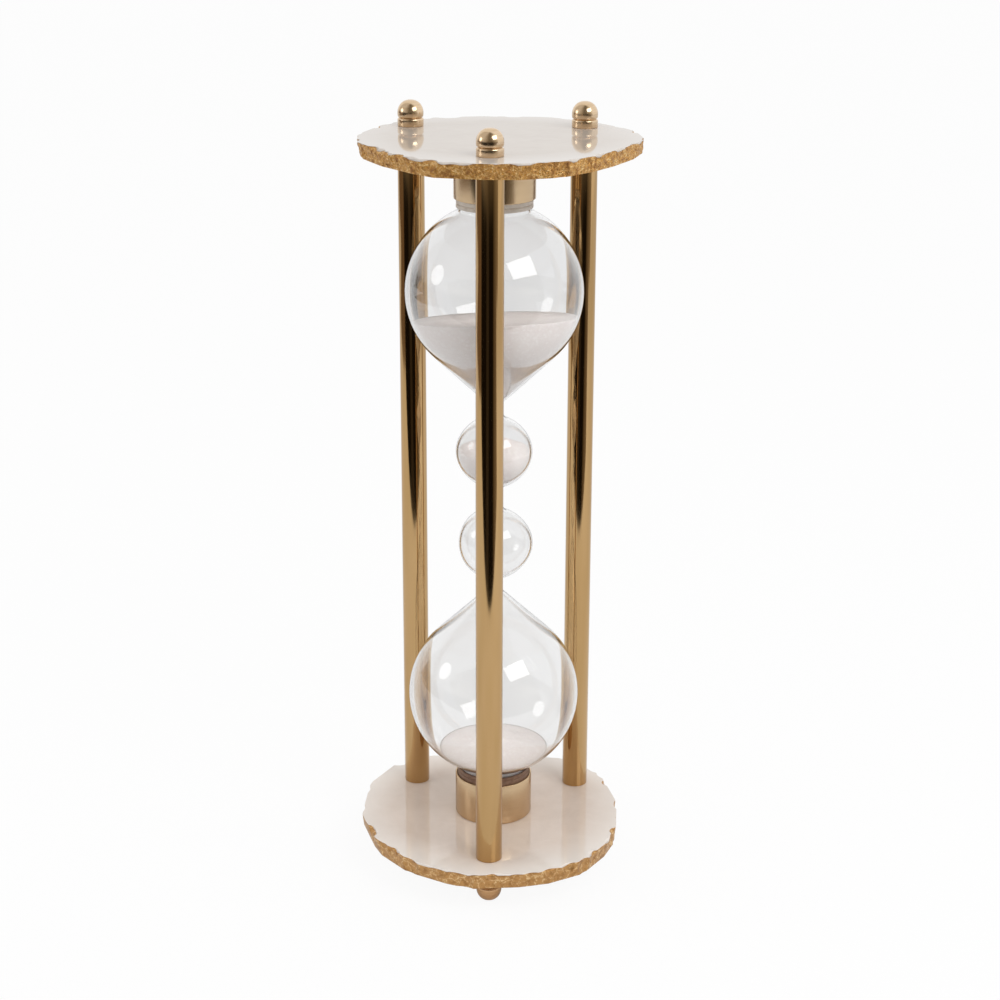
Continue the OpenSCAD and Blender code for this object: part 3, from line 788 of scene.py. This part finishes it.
sand_fill("upper_sand_fill", "upper_sand", OUTER_THROAT, BIG_AT + UPPER_SAND, UPPER_TILT, UPPER_DIP, 0, 3)
sand_fill("middle_sand_heap", "middle_sand", 0, SMALL_AT + MIDDLE_SAND, 0, 0, MIDDLE_SLOPE, 7)
sand_fill("lower_sand_mound", "lower_sand", None, LOWER_SAND - BIG_AT, 0, 0, LOWER_SLOPE, 9)

# ---- hidden CAD parts that stay ----

KEPT = {"front_tie_rod": STEEL, "left_tie_rod": STEEL, "right_tie_rod": STEEL,
        "top_cushion": FELT, "bottom_cushion": FELT, "filling_plug": CORK}
for node, material in KEPT.items():
    for place_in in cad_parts[node].material_slots:
        place_in.material = material

# ---- stage, light and camera ----


def pane(name, material):
    """A flat sheet of one metre, to be sized."""
    bm = bmesh.new()
    bmesh.ops.create_grid(bm, x_segments=1, y_segments=1, size=0.5)
    mesh = bpy.data.meshes.new(name)
    bm.to_mesh(mesh)
    bm.free()
    sheet = bpy.data.objects.new(name, mesh)
    bpy.context.scene.collection.objects.link(sheet)
    mesh.materials.append(material)
    return sheet


def seen_ray(material):
    """1 for camera, glossy and transmission rays, 0 for the rays that only carry light."""
    path = add(material, "ShaderNodeLightPath")
    either = add(material, "ShaderNodeMath",
                 {0: path.outputs["Is Camera Ray"], 1: path.outputs["Is Glossy Ray"]}, operation="MAXIMUM")
    return add(material, "ShaderNodeMath", {0: either.outputs[0], 1: path.outputs["Is Transmission Ray"]},
               operation="MAXIMUM").outputs[0]


# Matt white paper sweep that keeps a soft contact shadow.
paper = blank("matt_white_paper")
grain = add(paper, "ShaderNodeTexNoise", {"Vector": place(paper), "Scale": per_mm(40), "Detail": 2.0})
matt = add(paper, "ShaderNodeBsdfDiffuse", {"Color": blend(paper, grain.outputs[0], "#F4F4F4", "#FAFAFA")})
glow = add(paper, "ShaderNodeEmission", {"Color": (1, 1, 1, 1), "Strength": 1.0})
# metal takes most of it from the paper as it is lit, so that it shows the shadow by its foot
mirror = add(paper, "ShaderNodeLightPath").outputs["Is Glossy Ray"]
metal = add(paper, "ShaderNodeMath", {0: mirror, 1: -0.7, 2: 0.92}, operation="MULTIPLY_ADD")
share = add(paper, "ShaderNodeMath", {0: seen_ray(paper), 1: metal.outputs[0]}, operation="MULTIPLY")
mixed = add(paper, "ShaderNodeMixShader", {0: share.outputs[0], 1: matt.outputs[0], 2: glow.outputs[0]})
surface(paper, mixed)
floor = pane("paper_floor", paper)
floor.scale = (16, 16, 1)

# Glowing sheets for a dark studio in front of the white paper, seen only where the metal, the glass and the
# polished stone mirror them: painted reflections. Low down their colour, set by bearing, paints the posts'
# dark streak: brown at the left, black in the middle with one paler band, easing to taupe at the right.
# Higher up it paints a pale room with a taupe middle, as the reflections in the ball nuts.
studio = blank("painted_reflection_studio")
spread = add(studio, "ShaderNodeSeparateXYZ", {0: place(studio)})
ahead = add(studio, "ShaderNodeMath", {0: spread.outputs[1], 1: -1.0}, operation="MULTIPLY")
bearing = add(studio, "ShaderNodeMath", {0: spread.outputs[0], 1: ahead.outputs[0]}, operation="ARCTAN2")
share = add(studio, "ShaderNodeMapRange", {"Value": bearing.outputs[0], "From Min": -math.pi,
                                           "From Max": math.pi})
# bearings in degrees, and the painted reflection colours at them
LOW_SHADES = ((-126, "#7D6C5C"), (-76, "#7D6C5C"), (-68, "#1C1814"), (-31, "#1C1814"), (-26, "#3D3833"),
              (-11, "#3D3833"), (-7, "#1C1814"), (22, "#1C1814"), (27, "#544A3C"), (64, "#A0978A"))
HIGH_SHADES = ((-60, "#D6D2CC"), (-30, "#A89F92"), (-14, "#776F62"), (24, "#776F62"), (44, "#B1AA98"),
               (64, "#D9D6CC"))
shades = []
for stops in (LOW_SHADES, HIGH_SHADES):
    ramp = add(studio, "ShaderNodeValToRGB", {"Fac": share.outputs[0]})
    for i, (angle, colour) in enumerate(stops):
        element = ramp.color_ramp.elements[i] if i < 2 else ramp.color_ramp.elements.new(1.0)
        element.position, element.color = (angle + 180) / 360, tint(colour)
    shades.append(ramp.outputs[0])
# heights in metres up to which the low shades go, and from which the high ones start
LOW_UP_TO, HIGH_FROM = 0.35, 0.6
shade = blend(studio, spread.outputs[2], *shades, LOW_UP_TO, HIGH_FROM)
# the sheet glows with its painted reflection colour, though it is no lamp
dark = add(studio, "ShaderNodeEmission", {"Color": shade, "Strength": 1.0})
# it is clear to a ray that has met no mirror yet, so nothing dark shows straight through the glass, and
# it takes no light from the sand inside
path = add(studio, "ShaderNodeLightPath")
direct = add(studio, "ShaderNodeMath", {0: path.outputs["Glossy Depth"], 1: 0.5}, operation="LESS_THAN")
unseen = add(studio, "ShaderNodeMath", {0: direct.outputs[0], 1: path.outputs["Diffuse Depth"]},
             operation="MAXIMUM")
clear = add(studio, "ShaderNodeBsdfTransparent")
surface(studio, add(studio, "ShaderNodeMixShader", {0: unseen.outputs[0], 1: dark.outputs[0],
                                                    2: clear.outputs[0]}))


def painted_reflection_sheet(name, bm):
    """A glowing sheet of painted reflection colour that only mirrored rays meet."""
    mesh = bpy.data.meshes.new(name)
    bm.to_mesh(mesh)
    bm.free()
    mesh.materials.append(studio)
    sheet = bpy.data.objects.new(name, mesh)
    bpy.context.scene.collection.objects.link(sheet)
    for ray in ("camera", "diffuse", "volume_scatter", "shadow"):
        setattr(sheet, "visible_" + ray, False)


# edge of the painted reflection sheet on the floor, and its height above the paper
REFLECTION_FLOOR_EDGE = ((-1000, 700), (-1000, -306), (480, -306), (1600, -1280), (3000, -2400), (3000, -6000),
              (-6000, -6000), (-6000, 700))
REFLECTION_FLOOR_LIFT = 0.5
bm = bmesh.new()
tip = first = bm.verts.new((REFLECTION_FLOOR_EDGE[0][0] * MM, REFLECTION_FLOOR_EDGE[0][1] * MM, REFLECTION_FLOOR_LIFT * MM))
for x, y in REFLECTION_FLOOR_EDGE[1:]:
    tip = bmesh.ops.extrude_vert_indiv(bm, verts=[tip])["verts"][0]
    tip.co = (x * MM, y * MM, REFLECTION_FLOOR_LIFT * MM)
bm.edges.new((tip, first))
bmesh.ops.contextual_create(bm, geom=bm.edges[:])
painted_reflection_sheet("painted_reflection_floor", bm)

# section of the painted reflection sheet that stands as wall and ceiling, in metres, and where its turn
# round the object starts and how far it goes
WALL = ((-2.9, 0), (-2.9, 2.6), (-2.0, 3.6), (-0.05, 4.0))
WALL_FROM, WALL_TURN = -126, 190
bm = bmesh.new()
tip = bm.verts.new((0, *WALL[0]))
for y, z in WALL[1:]:
    tip = bmesh.ops.extrude_vert_indiv(bm, verts=[tip])["verts"][0]
    tip.co = (0, y, z)
bmesh.ops.rotate(bm, verts=bm.verts, cent=(0, 0, 0), matrix=Matrix.Rotation(math.radians(WALL_FROM), 3, "Z"))
bmesh.ops.spin(bm, geom=bm.verts[:] + bm.edges[:], cent=(0, 0, 0), axis=(0, 0, 1),
               angle=math.radians(WALL_TURN), steps=48, use_merge=False)
painted_reflection_sheet("painted_reflection_wall", bm)

# white room: full white to the eye and in reflections, a soft fill for everything else
world = bpy.data.worlds.new("white_room")
bpy.context.scene.world = world
world.use_nodes = True
world.node_tree.nodes.clear()
strength = add(world, "ShaderNodeMapRange", {"Value": seen_ray(world), "To Min": 0.78, "To Max": 1.0})
room = add(world, "ShaderNodeBackground", {"Color": (1, 1, 1, 1), "Strength": strength.outputs[0]})
world.node_tree.links.new(room.outputs[0], add(world, "ShaderNodeOutputWorld").inputs["Surface"])


def softbox(name, shape, size, way, distance, strength, aim=(0, 0, 0.17)):
    """An area light in a direction from the object, with a strength as radiance."""
    light = bpy.data.lights.new(name, "AREA")
    light.shape = shape
    light.size = size[0]
    area = size[0] * size[0] * math.pi / 4
    if shape == "RECTANGLE":
        light.size_y = size[1]
        area = size[0] * size[1]
    light.energy = strength * area * math.pi
    lamp = bpy.data.objects.new(name, light)
    bpy.context.scene.collection.objects.link(lamp)
    lamp.location = Vector(aim) + Vector(way).normalized() * distance
    lamp.rotation_euler = Vector(way).to_track_quat("Z", "Y").to_euler()
    return lamp


softbox("softbox_right", "RECTANGLE", size=(0.56, 0.38), way=(0.52, -0.58, 0.66), distance=1.0, strength=4.4)
softbox("round_lamp_left", "DISK", size=(0.34, 0.34), way=(-0.96, -0.06, 0.36), distance=1.0, strength=2.6)

camera = bpy.data.cameras.new("camera")
camera.lens = 76.01
camera.sensor_width = 36.0
camera.clip_start, camera.clip_end = 0.05, 50.0
viewer = bpy.data.objects.new("camera", camera)
bpy.context.scene.collection.objects.link(viewer)
viewer.location = (-26.85 * MM, -760.20 * MM, 404.94 * MM)
viewer.rotation_euler = [math.radians(a) for a in (71.3188, -0.1794, -2.134)]
bpy.context.scene.camera = viewer
bpy.context.scene.view_settings.view_transform = "Standard"
